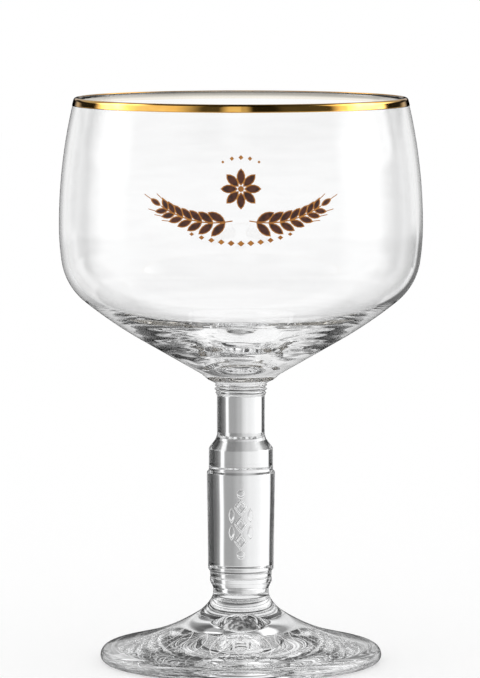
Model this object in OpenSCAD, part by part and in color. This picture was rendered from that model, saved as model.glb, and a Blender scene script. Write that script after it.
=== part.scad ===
// Chalice beer glass: a clear pressed glass with a wide round bowl on a baluster stem and a flared foot.
// Millimetres, +Z up. The origin is the centre of the ring that the foot stands on.
// Every outline is a run of tangent arcs and straight lines that is turned about the Z axis.

/* [Bowl] */
// Widest outside diameter of the bowl
bowl_d = 105.8; // [100:0.2:110]
// How far the rim draws in from the widest place, on each side
rim_inset = 4.55; // [3.5:0.05:6]
// Height of the bowl from its weld to the rim
bowl_h = 83.1; // [78:0.1:90]
// Thickness of the bowl's side wall
wall_t = 1.7; // [1.3:0.1:2.2]
// Glass below the lowest point of the cavity
floor_t = 7; // [6:0.1:7.4]
// Diameter at which the bowl sits on the weld
seat_d = 15; // [13.5:0.1:16]
// Diameter of the thick button of glass under the bowl, at its upper edge
button_d = 23; // [21:0.1:25]
// Height of that edge above the weld
button_h = 2.65; // [2.3:0.05:3]
// Diameter of the button at its lower edge
button_low_d = 19.2; // [17.5:0.1:20.5]
// Height of the lower edge above the weld
button_low_h = 1; // [0.6:0.1:1.4]
// Radius of the outside of the bowl's floor
floor_r = 130; // [115:1:145]
// Radius of the bowl's shoulder, where floor turns into side
shoulder_r = 18; // [16:0.1:20]
// Radius of the side, from the shoulder to the widest place
side_r = 70; // [60:1:80]
// Radius of the round bottom of the cavity
cup_r = 30; // [26:0.5:33]

/* [Weld collar] */
// Height of the collar between bowl and stem
collar_h = 3.6; // [3:0.1:4.5]
// Core diameter of the collar
collar_d = 14.2; // [14:0.1:15]
// Cross-section diameter of the uneven rings of squeezed glass
collar_ring_d = 1.1; // [0.8:0.1:1.2]

/* [Stem] */
// Diameter of the neck
neck_d = 13.9; // [12.5:0.1:14]
// Height of the neck
neck_h = 11.6; // [8:0.1:15]
// Diameter of the small flare under the neck
bead_d = 14.9; // [14.4:0.1:16]
// Height of that flare
bead_h = 1.4; // [1:0.1:2]
// Diameter of the drum above the barrel
drum_d = 18.7; // [17.5:0.1:19.4]
// Height of the conical shoulder
cone_h = 2.6; // [1.8:0.1:4]
// Height of the upper drum
drum_h = 6.3; // [4:0.1:9]
// Diameter of the barrel at its top
barrel_top_d = 19.9; // [19.6:0.1:21]
// Diameter of the barrel at its bottom
barrel_base_d = 19.1; // [18.6:0.1:19.5]
// Height of the barrel
barrel_h = 28.4; // [24:0.1:36]
// Height of each bevelled step of the stem
step_h = 0.7; // [0.4:0.1:1.2]
// Diameter of the drum under the barrel
base_d = 18; // [17:0.1:18.4]
// Height of the drum under the barrel
base_h = 3; // [2:0.1:5]
// Width of the fine groove round that drum, twice its depth
groove_w = 0.5; // [0.3:0.05:0.7]
// Height of the taper down to the foot
taper_h = 1.9; // [1.2:0.1:3]
// Diameter where the stem meets the foot
seam_d = 16.2; // [15:0.1:16.6]
// Height of the narrow ring on that seam
seam_h = 1; // [0.6:0.1:2]
// Rounding of the stem's edges
edge_r = 0.35; // [0.1:0.05:0.5]

/* [Stem ornament] */
// Height of the raised ornament on the front of the barrel
relief_h = 20; // [14:0.5:21]
// Width of the raised ornament
relief_w = 7.6; // [5:0.2:10]
// How far it stands out of the barrel
relief_out = 0.5; // [0.2:0.1:0.8]

/* [Foot] */
// Diameter of the foot
foot_d = 82.3; // [74:0.1:90]
// Radius of the lower edge of the foot
heel_r = 1.8; // [1.4:0.1:2.6]
// Radius of the upper edge of the foot
brim_r = 2.6; // [1.8:0.1:3.2]
// Slope of the foot's top near its edge, in degrees
brim_slope = 14; // [11:0.5:17]
// Radius of the long flare of the foot
flare_r = 64; // [50:1:75]
// Radius of the tighter flare above it
waist_r = 12; // [9:0.5:15]
// Radius of the last turn into the stem
throat_r = 4.5; // [3:0.5:6]
// Width of the flat ring that the foot stands on
rest_w = 2; // [1:0.1:3]
// Height of the hollow under the foot at its edge
hollow_edge_h = 1; // [0.6:0.1:1.4]
// Height of the hollow where the central dome starts
hollow_h = 4.6; // [3:0.1:5.5]
// Diameter of the dome in the middle of the hollow
dome_d = 12; // [8:0.2:14]
// Height of the top of the dome above the table
dome_top = 10.4; // [8:0.1:12]

/* [Foot ornament] */
// Number of raised leaves round the foot
leaf_count = 24; // [12:1:30]
// Radius at which the leaves start
leaf_in_r = 19.5; // [18:0.5:22]
// Radius at which they end
leaf_out_r = 31.5; // [28:0.5:33]
// Width of a leaf
leaf_w = 4; // [2:0.2:4.4]
// How far the ornament stands out of the foot
leaf_out = 0.3; // [0.2:0.05:0.7]

/* [Gilding and print] */
// Height of the gold band at the rim
band_h = 2.2; // [1:0.1:5]
// Thickness of the gilding and of the print
film_t = 0.1; // [0.05:0.01:0.2]
// Gap between the glass and what is fired on to it
film_gap = 0.02; // [0.01:0.01:0.05]
// How far below the rim the middle of the print lies
print_drop = 26.5; // [22:0.5:31]
// Width of the print without its awns
print_w = 46; // [34:1:50]
// Width of the gold outline round each brown grain
outline_w = 0.28; // [0.15:0.01:0.4]

/* [Hidden] */

$fn = 96;
// One length by which every cutting solid runs past what it cuts
overrun = 1;
// Degrees of turn for each straight piece of an arc, and of a small rounding
turn_step = 3;
small_turn_step = 22.5;

// Raised ornament of the stem, as shares of its pitch and width
relief_pitch_share = 0.25;
relief_lozenge_share = [0.5, 1.02];
relief_hole_share = [0.24, 0.5];
relief_disc_share = 0.44;
relief_lens_share = [0.2, 0.8];
relief_lens_place_share = [0.36, 0.5];

// Bead between two leaves of the foot, as shares of a leaf's width
leaf_bead_share = 0.33;
leaf_bead_inset_share = 0.25;

// Slopes of the bowl's outline above the horizontal, in degrees
floor_slope = 30;
floor_end_slope = 39;
shoulder_end_slope = 81.5;
// Slope of the cavity's floor
cup_slope = 24;

// Slopes of the foot's flare below the horizontal, in degrees
flare_slope = 32;
waist_slope = 60;

// Heights of the joints between the pieces
brim_run = (foot_d/2 - seam_d/2 - throat_r*(1 - sin(waist_slope))
    - waist_r*(sin(waist_slope) - sin(flare_slope)) - flare_r*(sin(flare_slope) - sin(brim_slope))
    - brim_r*(1 - sin(brim_slope)))/cos(brim_slope);
foot_h = heel_r + brim_r*cos(brim_slope) + brim_run*sin(brim_slope)
    + flare_r*(cos(brim_slope) - cos(flare_slope)) + waist_r*(cos(flare_slope) - cos(waist_slope))
    + throat_r*cos(waist_slope);
base_z = foot_h + seam_h + taper_h;
groove_z = base_z + base_h/2;
barrel_z = base_z + base_h + step_h;
barrel_top_z = barrel_z + barrel_h;
drum_z = barrel_top_z + step_h;
cone_z = drum_z + drum_h;
bead_z = cone_z + cone_h;
neck_z = bead_z + bead_h;
stem_top_z = neck_z + neck_h;
bowl_z = stem_top_z + collar_h;
rim_z = bowl_z + bowl_h;

// Outside of the bowl: seat, button, cone, floor, shoulder, side, widest place, upper wall
bowl_r = bowl_d/2;
cone_run = (bowl_r - button_d/2 - floor_r*(sin(floor_end_slope) - sin(floor_slope))
    - shoulder_r*(sin(shoulder_end_slope) - sin(floor_end_slope))
    - side_r*(1 - sin(shoulder_end_slope)))/cos(floor_slope);
seat_point = [seat_d/2, bowl_z];
button_low_point = [button_low_d/2, bowl_z + button_low_h];
button_point = [button_d/2, bowl_z + button_h];
cone_end = button_point + cone_run*[cos(floor_slope), sin(floor_slope)];
floor_end = arc_end(cone_end, floor_slope, floor_r, floor_end_slope - floor_slope);
shoulder_end = arc_end(floor_end, floor_end_slope, shoulder_r, shoulder_end_slope - floor_end_slope);
widest_z = shoulder_end[1] + side_r*cos(shoulder_end_slope);
upper_rise = rim_z - widest_z;
upper_r = (upper_rise*upper_rise + rim_inset*rim_inset)/(2*rim_inset);
upper_centre = [bowl_r - upper_r, widest_z];
lip_r = wall_t/2;
lip_angle = asin((upper_rise - lip_r)/(upper_r - lip_r));
lip_centre = upper_centre + (upper_r - lip_r)*[cos(lip_angle), sin(lip_angle)];

// Inside of the bowl: side and shoulder are even, and the floor swells towards the middle
cup_point = [0, bowl_z + floor_t];
cup_end = arc_end(cup_point, 0, cup_r, cup_slope);
cup_floor_end = floor_end + wall_t*[-sin(floor_end_slope), cos(floor_end_slope)];
cup_shoulder_end = shoulder_end + wall_t*[-sin(shoulder_end_slope), cos(shoulder_end_slope)];
cup_gap = cup_floor_end - cup_end;
cup_line = [cos(cup_slope), sin(cup_slope)];
cup_bend = [sin(floor_end_slope) - sin(cup_slope), cos(cup_slope) - cos(floor_end_slope)];
cup_det = cup_line[0]*cup_bend[1] - cup_line[1]*cup_bend[0];
cup_run = (cup_gap[0]*cup_bend[1] - cup_gap[1]*cup_bend[0])/cup_det;
cup_swell_r = (cup_line[0]*cup_gap[1] - cup_line[1]*cup_gap[0])/cup_det;
cup_line_end = cup_end + cup_run*cup_line;

// Uneven rings of the weld: height as a share of the collar, size as a share of the ring
collar_ring_shares = [[0.8, 1], [0.5, 0.8], [0.2, 0.55]];

// Sprig of the print: its first point, the radius and turn of its stalk, and how its grains shrink
sprig_start_share = [0.055, -0.125];
sprig_r = print_w*0.56;
sprig_slope_start = -12;
sprig_turn = 54;
grain_count = 7;
grain_start_share = 0.07;
grain_run_share = 0.78;
shrink_share = 0.92;
grain_spread = 36;
grain_l = print_w*0.105;
grain_w = print_w*0.042;
grain_shift_share = 0.62;
tip_shift_share = 0.75;
stalk_steps = 7;
stalk_end_share = 0.85;
stalk_w = outline_w*1.2;
awn_count = 3;
awn_spread = 14;
awn_l = print_w*0.05;
awn_w = outline_w*0.8;
awn_start_share = 1.1;
tip_awn_start_share = 1.25;

// Rosette of the print, and the two curved rows of lozenges below and above it
petal_count = 8;
petal_l = print_w*0.088;
petal_w = print_w*0.042;
heart_r = print_w*0.018;
petal_in_r = print_w*0.028;
rosette_rise = print_w*0.07;
row_count = 11;
row_half_w = print_w*0.3;
row_sag = print_w*0.055;
row_drop = print_w*0.262;
row_shrink_share = 0.35;
lozenge_w = print_w*0.045;
lozenge_h = print_w*0.036;
crown_count = 5;
crown_half_w = print_w*0.11;
crown_rise = print_w*0.225;
crown_size = print_w*0.03;

// Point at the end of an arc that starts at p, in direction h, and turns by t degrees
function arc_end(p, h, r, t) = p + r*sign(t)*[sin(h + t) - sin(h), cos(h) - cos(h + t)];

// Points along that arc, without its first one
function arc_points(p, h, r, t) =
    let(n = max(1, ceil(abs(t)/turn_step)))
    [for (i = [1:n]) arc_end(p, h, r, t*i/n)];

// The same outline walked the other way
function reversed(v) = [for (i = [len(v) - 1:-1:0]) v[i]];

// Vector of the same direction and of length one
function unit(v) = v/norm(v);

// Points of a rounding of radius r at corner b between a and c
function corner_points(a, b, c, r) =
    let(u = unit(a - b), w = unit(c - b), half = acos(max(-1, min(1, u*w)))/2)
    half > 89 ? [b] :
    let(d = min(r/tan(half), norm(a - b)/2, norm(c - b)/2),
        rr = d*tan(half),
        centre = b + unit(u + w)*rr/sin(half),
        start = b + u*d - centre,
        stop = b + w*d - centre,
        from = atan2(start[1], start[0]),
        swing = atan2(start[0]*stop[1] - start[1]*stop[0], start*stop),
        n = max(1, ceil(abs(swing)/small_turn_step)))
    [for (i = [0:n]) centre + rr*[cos(from + swing*i/n), sin(from + swing*i/n)]];

// Outline with such a rounding at each inner corner
function rounded(v, r) = [
    v[0],
    for (i = [1:len(v) - 2]) each corner_points(v[i - 1], v[i], v[i + 1], r),
    v[len(v) - 1]
];

// Outside wall of the bowl from the seat up to the lip, moved outwards by off
function bowl_wall(off) = let(
    lean = [cos(floor_slope), sin(floor_slope)],
    out = off*[sin(floor_slope), -cos(floor_slope)],
    a = button_point + out,
    b = a + cone_run*lean,
    c = arc_end(b, floor_slope, floor_r + off, floor_end_slope - floor_slope),
    d = arc_end(c, floor_end_slope, shoulder_r + off, shoulder_end_slope - floor_end_slope),
    e = arc_end(d, shoulder_end_slope, side_r + off, 90 - shoulder_end_slope)
) [
    seat_point,
    button_low_point + [off, 0],
    a, b,
    each arc_points(b, floor_slope, floor_r + off, floor_end_slope - floor_slope),
    each arc_points(c, floor_end_slope, shoulder_r + off, shoulder_end_slope - floor_end_slope),
    each arc_points(d, shoulder_end_slope, side_r + off, 90 - shoulder_end_slope),
    each arc_points(e, 90, upper_r + off, lip_angle)
];

// Inside wall of the bowl from the axis up to the lip
cup_wall = [
    cup_point,
    each arc_points(cup_point, 0, cup_r, cup_slope),
    cup_line_end,
    each arc_points(cup_line_end, cup_slope, cup_swell_r, floor_end_slope - cup_slope),
    each arc_points(cup_floor_end, floor_end_slope, shoulder_r - wall_t, shoulder_end_slope - floor_end_slope),
    each arc_points(cup_shoulder_end, shoulder_end_slope, side_r - wall_t, 90 - shoulder_end_slope),
    each arc_points([bowl_r - wall_t, widest_z], 90, upper_r - wall_t, lip_angle)
];

// Half round over the lip, from outside to inside, moved outwards by off
function lip_turn(off) =
    let(start = lip_centre + (lip_r + off)*[cos(lip_angle), sin(lip_angle)], n = ceil(180/small_turn_step))
    [for (i = [1:n]) arc_end(start, 90 + lip_angle, lip_r + off, 180*i/n)];

// Angle on the upper wall at which a height lies
function wall_angle(z) = asin((z - widest_z)/upper_r);

// Points on the upper wall between two such angles, moved outwards by off
function wall_points(from, to, off) =
    let(n = max(2, ceil(abs(to - from)/turn_step)))
    [for (i = [0:n]) let(a = from + (to - from)*i/n)
        upper_centre + (upper_r + off)*[cos(a), sin(a)]];

module bowl() {
    color([0.93, 0.95, 0.96, 0.45])
    rotate_extrude()
    polygon([
        [0, bowl_z],
        each bowl_wall(0),
        each lip_turn(0),
        each reversed([for (i = [0:len(cup_wall) - 2]) cup_wall[i]])
    ]);
}

// Squeezed ring of glass that the bowl was fused on with
module weld_collar() {
    color([0.8, 0.83, 0.85, 0.6])
    rotate_extrude() {
        translate([0, stem_top_z])
        square([collar_d/2, collar_h]);
        polygon([
            [0, bowl_z - collar_ring_d],
            [collar_d/2, bowl_z - collar_ring_d],
            [seat_d/2, bowl_z],
            [0, bowl_z]
        ]);
        for (ring = collar_ring_shares)
            translate([collar_d/2, stem_top_z + ring[0]*(collar_h - collar_ring_d/2)])
            circle(d = collar_ring_d*ring[1]);
    }
}

// Solid stem with neck, bead, cone, drum, tapered barrel, base drum and seam ring
stem_side = [
    [seam_d/2, foot_h],
    [seam_d/2, foot_h + seam_h],
    [base_d/2, base_z],
    [base_d/2, groove_z - groove_w/2],
    [base_d/2 - groove_w/2, groove_z],
    [base_d/2, groove_z + groove_w/2],
    [base_d/2, base_z + base_h],
    [barrel_base_d/2, barrel_z],
    [barrel_top_d/2, barrel_top_z],
    [drum_d/2, drum_z],
    [drum_d/2, cone_z],
    [bead_d/2, bead_z],
    [neck_d/2, neck_z],
    [neck_d/2, stem_top_z]
];

module stem() {
    color([0.8, 0.83, 0.85, 0.6])
    union() {
        rotate_extrude()
        polygon([[0, foot_h], each rounded(stem_side, edge_r), [0, stem_top_z]]);
        stem_ornament();
    }
}

// Three raised lozenges between two discs, with a lens on each side, wrapped on the barrel
module stem_ornament() {
    middle = (barrel_z + barrel_top_z)/2;
    reach = barrel_base_d/2 + relief_out;
    intersection() {
        translate([0, 0, middle])
        rotate([90, 0, 0])
        linear_extrude(reach + overrun)
        relief_shape();
        translate([0, 0, barrel_z])
        cylinder(h = barrel_h, r1 = reach, r2 = reach + (barrel_top_d - barrel_base_d)/2);
    }
}

module relief_shape() {
    pitch = relief_h*relief_pitch_share;
    disc_d = pitch*relief_disc_share;
    for (i = [-1:1])
        translate([0, i*pitch])
        difference() {
            lozenge(relief_w*relief_lozenge_share[0], pitch*relief_lozenge_share[1]);
            lozenge(relief_w*relief_hole_share[0], pitch*relief_hole_share[1]);
        }
    for (side = [-1, 1]) {
        translate([0, side*(relief_h - disc_d)/2])
        circle(d = disc_d);
        for (i = [-1, 1])
            translate([side*relief_w*relief_lens_place_share[0], i*pitch*relief_lens_place_share[1]])
            rotate(90)
            lens(pitch*relief_lens_share[1], relief_w*relief_lens_share[0]);
    }
}

module lozenge(w, h) {
    polygon([[w/2, 0], [0, h/2], [-w/2, 0], [0, -h/2]]);
}

// Pointed oval of length l and width w between two equal arcs, each of so many straight pieces
lens_steps = 5;
module lens(l, w) {
    r = (l*l + w*w)/(4*w);
    half = asin(l/2/r);
    polygon([
        for (i = [0:lens_steps - 1]) let(a = half*(1 - 2*i/lens_steps)) [r*sin(a), r*cos(a) - r + w/2],
        for (i = [0:lens_steps - 1]) let(a = half*(2*i/lens_steps - 1)) [r*sin(a), r - w/2 - r*cos(a)]
    ]);
}

// The same oval with a margin all round, wider at its points
tip_margins = 3;
side_margins = 2;
module grown_lens(l, w, margin) {
    lens(l + tip_margins*margin, w + side_margins*margin);
}

// Upper side of the foot from above the heel up to the seam, raised by off
function foot_top(off) = let(
    a = [foot_d/2, heel_r + off],
    b = arc_end(a, 90, brim_r, 90 - brim_slope),
    c = b + brim_run*[-cos(brim_slope), sin(brim_slope)],
    d = arc_end(c, 180 - brim_slope, flare_r, brim_slope - flare_slope),
    e = arc_end(d, 180 - flare_slope, waist_r, flare_slope - waist_slope)
) [
    each arc_points(a, 90, brim_r, 90 - brim_slope),
    c,
    each arc_points(c, 180 - brim_slope, flare_r, brim_slope - flare_slope),
    each arc_points(d, 180 - flare_slope, waist_r, flare_slope - waist_slope),
    each arc_points(e, 180 - waist_slope, throat_r, waist_slope - 90)
];

// Underside of the foot: heel, flat ring, shallow cone and central dome
heel_start = [foot_d/2 - heel_r, 0];
rest_in = foot_d/2 - heel_r - rest_w;
hollow_point = [rest_in - hollow_edge_h, hollow_edge_h];
dome_r = dome_d/2;
dome_steps = 10;
function dome_height(share) = hollow_h + (dome_top - hollow_h)*(1 - share*share);
foot_under = [
    each rounded([heel_start, [rest_in, 0], hollow_point, [dome_r, hollow_h]], hollow_edge_h),
    for (i = [dome_steps - 1:-1:0]) [dome_r*i/dome_steps, dome_height(i/dome_steps)]
];

module foot() {
    color([0.8, 0.83, 0.85, 0.6])
    union() {
        rotate_extrude()
        polygon([
            each reversed(foot_under),
            each arc_points(heel_start, 0, heel_r, 90),
            each foot_top(0),
            [0, foot_h]
        ]);
        foot_ornament();
    }
}

// Ring of raised pointed leaves with a bead between each two
module foot_ornament() {
    leaf_l = leaf_out_r - leaf_in_r;
    bead_ring_r = leaf_out_r - leaf_w*leaf_bead_inset_share;
    intersection() {
        translate([0, 0, hollow_h + hollow_edge_h])
        linear_extrude(foot_h)
        for (i = [0:leaf_count - 1])
            rotate(360*i/leaf_count) {
                translate([leaf_in_r + leaf_l/2, 0])
                lens(leaf_l, leaf_w);
                rotate(180/leaf_count)
                translate([bead_ring_r, 0])
                circle(d = leaf_w*leaf_bead_share);
            }
        rotate_extrude()
        polygon([
            [0, hollow_h],
            [foot_d/2 - brim_r - heel_r, hollow_h],
            each [for (p = foot_top(leaf_out)) if (p[0] < foot_d/2 - brim_r - heel_r) p],
            [0, foot_h + leaf_out]
        ]);
    }
}

// Gold fired on to the outside of the rim and over the lip
module rim_band() {
    low = wall_angle(rim_z - band_h);
    color([0.78, 0.55, 0.2])
    rotate_extrude()
    polygon([
        each wall_points(low, lip_angle, film_gap + film_t),
        each lip_turn(film_gap + film_t),
        each reversed(lip_turn(film_gap)),
        each reversed(wall_points(low, lip_angle, film_gap))
    ]);
}

// Thin shell in front of the bowl's wall, cut to a flat drawing that faces -Y
module printed() {
    difference() {
        intersection() {
            translate([0, 0, rim_z - print_drop])
            rotate([90, 0, 0])
            linear_extrude(bowl_r + overrun)
            children();
            filled_bowl(film_gap + film_t);
        }
        filled_bowl(film_gap);
    }
}

module filled_bowl(off) {
    rotate_extrude()
    polygon([[0, bowl_z], each bowl_wall(off), [0, lip_centre[1]]]);
}

// Curve of a sprig: its point and its slope at share s of the way along it
function sprig_slope(s) = sprig_slope_start + sprig_turn*s;
function sprig_point(s) = arc_end(print_w*sprig_start_share, sprig_slope_start, sprig_r, s*sprig_turn);

// Grains shrink by one share each, and the gaps between them shrink alike
function grain_size(i) = pow(shrink_share, i);
function grain_place(i) =
    grain_start_share + grain_run_share*(1 - grain_size(i))/(1 - grain_size(grain_count));

module on_sprig(s) {
    translate(sprig_point(s))
    rotate(sprig_slope(s))
    children();
}

module both_sides() {
    children();
    mirror([1, 0])
    children();
}

// Pairs of grains and one at the tip, each grown by grow
module sprig_grains(grow) {
    for (i = [0:grain_count - 1], side = [-1, 1])
        on_sprig(grain_place(i))
        rotate(side*grain_spread)
        translate([grain_l*grain_size(i)*grain_shift_share, 0])
        grown_lens(grain_l*grain_size(i), grain_w*grain_size(i), grow);
    tip_l = grain_l*grain_size(grain_count);
    on_sprig(grain_place(grain_count))
    translate([tip_l*tip_shift_share, 0])
    grown_lens(tip_l, grain_w*grain_size(grain_count), grow);
}

// Stalk of a sprig, and awns beyond its outer grains
module sprig_lines() {
    for (i = [0:stalk_steps - 1])
        bar(sprig_point(stalk_end_share*i/stalk_steps),
            sprig_point(stalk_end_share*(i + 1)/stalk_steps), stalk_w);
    for (i = [grain_count - awn_count:grain_count - 1], side = [-1, 1])
        on_sprig(grain_place(i))
        rotate(side*grain_spread)
        translate([grain_l*grain_size(i)*awn_start_share, 0])
        rotate(-side*(grain_spread - awn_spread))
        bar([0, 0], [awn_l, 0], awn_w);
    tip_end = grain_l*grain_size(grain_count)*tip_awn_start_share;
    on_sprig(grain_place(grain_count))
    bar([tip_end, 0], [tip_end + awn_l, 0], awn_w);
}

// Straight bar of width w from a to b
module bar(a, b, w) {
    along = b - a;
    translate(a)
    rotate(atan2(along[1], along[0]))
    translate([-w/2, -w/2])
    square([norm(along) + w, w]);
}

module petals(grow) {
    translate([0, rosette_rise])
    for (i = [0:petal_count - 1])
        rotate(360*i/petal_count)
        translate([petal_in_r + petal_l/2, 0])
        grown_lens(petal_l, petal_w, grow);
}

// Rows of lozenges: a long one that hangs below the sprigs and a short one over the rosette
module lozenge_rows() {
    for (i = [0:row_count - 1]) {
        s = 2*i/(row_count - 1) - 1;
        size = 1 - row_shrink_share*s*s;
        translate([s*row_half_w, row_sag*s*s - row_drop])
        lozenge(lozenge_w*size, lozenge_h*size);
    }
    for (i = [0:crown_count - 1]) {
        s = 2*i/(crown_count - 1) - 1;
        size = 1 - row_shrink_share*s*s;
        translate([s*crown_half_w, rosette_rise/2 + crown_rise - row_sag*s*s/2])
        lozenge(crown_size*size, crown_size*size);
    }
}

module brown_shape(grow) {
    both_sides()
    sprig_grains(grow);
    petals(grow);
}

module emblem_brown() {
    color([0.24, 0.1, 0.06])
    printed()
    brown_shape(0);
}

module emblem_gold() {
    color([0.72, 0.46, 0.17])
    printed()
    difference() {
        union() {
            brown_shape(outline_w);
            both_sides()
            sprig_lines();
            translate([0, rosette_rise])
            circle(r = heart_r);
            lozenge_rows();
        }
        brown_shape(0);
    }
}

bowl();
weld_collar();
stem();
foot();
rim_band();
emblem_brown();
emblem_gold();
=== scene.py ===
import math

import bpy
import numpy as np
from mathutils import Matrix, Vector


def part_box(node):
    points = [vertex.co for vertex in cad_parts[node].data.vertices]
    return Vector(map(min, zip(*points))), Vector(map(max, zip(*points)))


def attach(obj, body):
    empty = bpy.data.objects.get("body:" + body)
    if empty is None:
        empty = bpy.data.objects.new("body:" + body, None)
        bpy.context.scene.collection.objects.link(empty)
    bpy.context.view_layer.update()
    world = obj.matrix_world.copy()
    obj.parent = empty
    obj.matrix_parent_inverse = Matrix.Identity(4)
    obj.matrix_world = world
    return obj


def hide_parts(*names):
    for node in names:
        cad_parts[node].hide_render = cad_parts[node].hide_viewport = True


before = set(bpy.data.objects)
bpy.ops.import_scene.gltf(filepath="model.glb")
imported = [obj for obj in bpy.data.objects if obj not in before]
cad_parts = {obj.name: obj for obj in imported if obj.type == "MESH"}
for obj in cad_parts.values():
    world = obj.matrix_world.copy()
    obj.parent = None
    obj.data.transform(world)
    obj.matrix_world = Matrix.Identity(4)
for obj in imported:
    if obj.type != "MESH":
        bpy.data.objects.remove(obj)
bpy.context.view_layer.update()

# Lengths are in metres. Slopes, azimuths and elevations are in degrees, and phases and the angles round the axis
# of the meshes in radians, from the printed front.
MM = 0.001

# Boxes that the frame gives
BOWL_LOW, BOWL_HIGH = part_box("bowl")
STEM_LOW, STEM_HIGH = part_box("stem")
FOOT_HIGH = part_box("foot")[1]
COLLAR_LOW, COLLAR_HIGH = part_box("weld_collar")

# Bowl
BOWL_D, RIM_D = 105.8*MM, 96.7*MM
WALL_T, FLOOR_T = 1.7*MM, 7.0*MM
SEAT_D = 15.0*MM
BUTTON = ((9.6*MM, 1.0*MM), (11.5*MM, 2.65*MM))
FLOOR_R, SHOULDER_R, SIDE_R, CUP_R = 130.0*MM, 18.0*MM, 70.0*MM, 30.0*MM
FLOOR_SLOPE, FLOOR_END_SLOPE, SHOULDER_END_SLOPE, CUP_SLOPE = 30.0, 39.0, 81.5, 24.0

# Weld collar: each ring is its height as a share of the collar's, and how far it stands out
COLLAR_D = 14.2*MM
COLLAR_RINGS = ((0.80, 0.55*MM), (0.50, 0.50*MM), (0.20, 0.40*MM))
COLLAR_RING_SHARE = 0.075
COLLAR_FLARE_SHARE = 0.7

# Stem: diameters and heights of its parts
SEAM_D, BASE_D, BARREL_BASE_D, BARREL_TOP_D = 16.2*MM, 18.0*MM, 19.1*MM, 19.9*MM
DRUM_D, BEAD_D, NECK_D = 18.7*MM, 14.9*MM, 13.9*MM
SEAM_H, TAPER_H, BASE_H, STEP_H, BARREL_H = 1.0*MM, 1.9*MM, 3.0*MM, 0.7*MM, 28.4*MM
DRUM_H, CONE_H, BEAD_H = 6.3*MM, 2.6*MM, 1.4*MM
GROOVE_W = 0.5*MM
EDGE_R = 0.35*MM

# Relief on the stem. Widths are shares of its width, and lengths shares of its pitch.
RELIEF_H, RELIEF_W, RELIEF_OUT = 20.0*MM, 7.6*MM, 0.5*MM
RELIEF_PITCH = RELIEF_H/4
LOZENGE, LOZENGE_FALL = (0.25, 0.51), 0.22
LOZENGE_HOLE, LOZENGE_HOLE_FALL = (0.12, 0.25), 0.11
RELIEF_DISC = 0.22
RELIEF_LENS, RELIEF_LENS_PLACE = (0.2, 0.8), (0.36, 0.5)
# In millimetres: its flank, of which a share lies outside the outline, and the line along its edge where a white
# highlight is painted
FLANK_W, FLANK_OUTSIDE, NO_RELIEF = 0.45, 0.25, -1.0
HIGHLIGHT_LINE_PLACE, HIGHLIGHT_LINE_W = -0.05, 0.13

# Foot
FOOT_D = 82.3*MM
HEEL_R, BRIM_R, FLARE_R, WAIST_R, THROAT_R = 1.8*MM, 2.6*MM, 64.0*MM, 12.0*MM, 4.5*MM
BRIM_SLOPE, FLARE_SLOPE, WAIST_SLOPE = 14.0, 32.0, 60.0
REST_W = 2.0*MM
HOLLOW_EDGE_H, HOLLOW_H, DOME_D, DOME_TOP = 1.0*MM, 4.6*MM, 12.0*MM, 10.4*MM
DOME_ROWS = 14
LEAVES = 24
LEAF_IN_R, LEAF_OUT_R, LEAF_W, LEAF_OUT = 19.5*MM, 31.5*MM, 4.0*MM, 0.012*MM
LEAF_LENGTH = LEAF_OUT_R - LEAF_IN_R
LEAF_R = (LEAF_LENGTH**2 + LEAF_W**2)/(4*LEAF_W)
LEAF_MIDDLE_R = LEAF_IN_R + LEAF_LENGTH/2
LEAF_BEAD_R, LEAF_BEAD_PLACE_R = LEAF_W/6, LEAF_OUT_R - LEAF_W/4

# Gold band
BAND_H, FILM_T, FILM_GAP = 2.2*MM, 0.1*MM, 0.02*MM
BAND_ROWS = 6
LIP_ROWS_GILDED = 9

# Rings that the mould left. Each sway is times round, size and phase, and each pitch is length, share and phase.
RIPPLE = 0.009*MM
RIPPLE_RISE, RIPPLE_FALL = (2*MM, 6*MM), (44*MM, -10*MM)
RIPPLE_SWAY = ((2, 0.5*MM, 1.0), (5, 0.3*MM, 0.0))
RIPPLE_PITCHES = ((3.7*MM, 1.0, 0.0), (6.3*MM, 0.6, 1.0))
BRIM_RINGS = 0.005*MM
BRIM_RING_RISE = (32*MM, 2*MM)
BRIM_RING_SWAY = ((3, 0.15*MM, 1.0), (7, 0.1*MM, 0.0))
BRIM_RING_PITCHES = ((1.9*MM, 1.0, 0.0),)

# Waves of the glass: seed, length and depth. They fade out towards both ends of a piece.
COLLAR_WAVE = (5, 1.6*MM, 0.2*MM)
STEM_WAVE = (11, 22*MM, 0.05*MM)
FOOT_WAVE = (23, 30*MM, 0.06*MM)
# What their terms are drawn from
WAVE_TERMS, WAVE_TURNS, WAVE_RATES, WAVE_PHASES, WAVE_WEIGHTS = 9, (1, 7), (0.3, 1.0), (0, 6.283), (0.4, 1.0)
WAVE_FADE = 2*MM
COLLAR_FADE = 6

# Steps round the axis. The stem has finer ones on its front, to STEM_FRONT degrees on both sides.
BOWL_STEPS, COLLAR_STEPS, FOOT_STEPS, BAND_STEPS = 384, 192, 480, 384
STEM_FRONT, STEM_FRONT_STEPS, STEM_BACK_STEPS = 32, 128, 150
COLLAR_ROWS = 40
# Steps along the outlines, in degrees of an arc or metres of a line
CONE_STEP, FLOOR_STEP, SHOULDER_STEP, SIDE_STEP, UPPER_STEP, LIP_STEP = 0.5*MM, 0.5, 2.0, 1.0, 0.5, 12.0
CUP_STEP, CUP_RUN_STEP, SWELL_STEP = 0.8, 0.4*MM, 0.6
STEM_STEP, STEM_EDGE_STEP, EDGE_STEP = 0.25*MM, 5.0, 15.0
BRIM_STEP, BRIM_RUN_STEP, FLARE_STEP, WAIST_STEP, THROAT_STEP = 6.0, 0.4*MM, 0.36, 2.0, 3.0
HEEL_STEP, HOLLOW_STEP = 9.0, 1.0*MM
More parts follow.
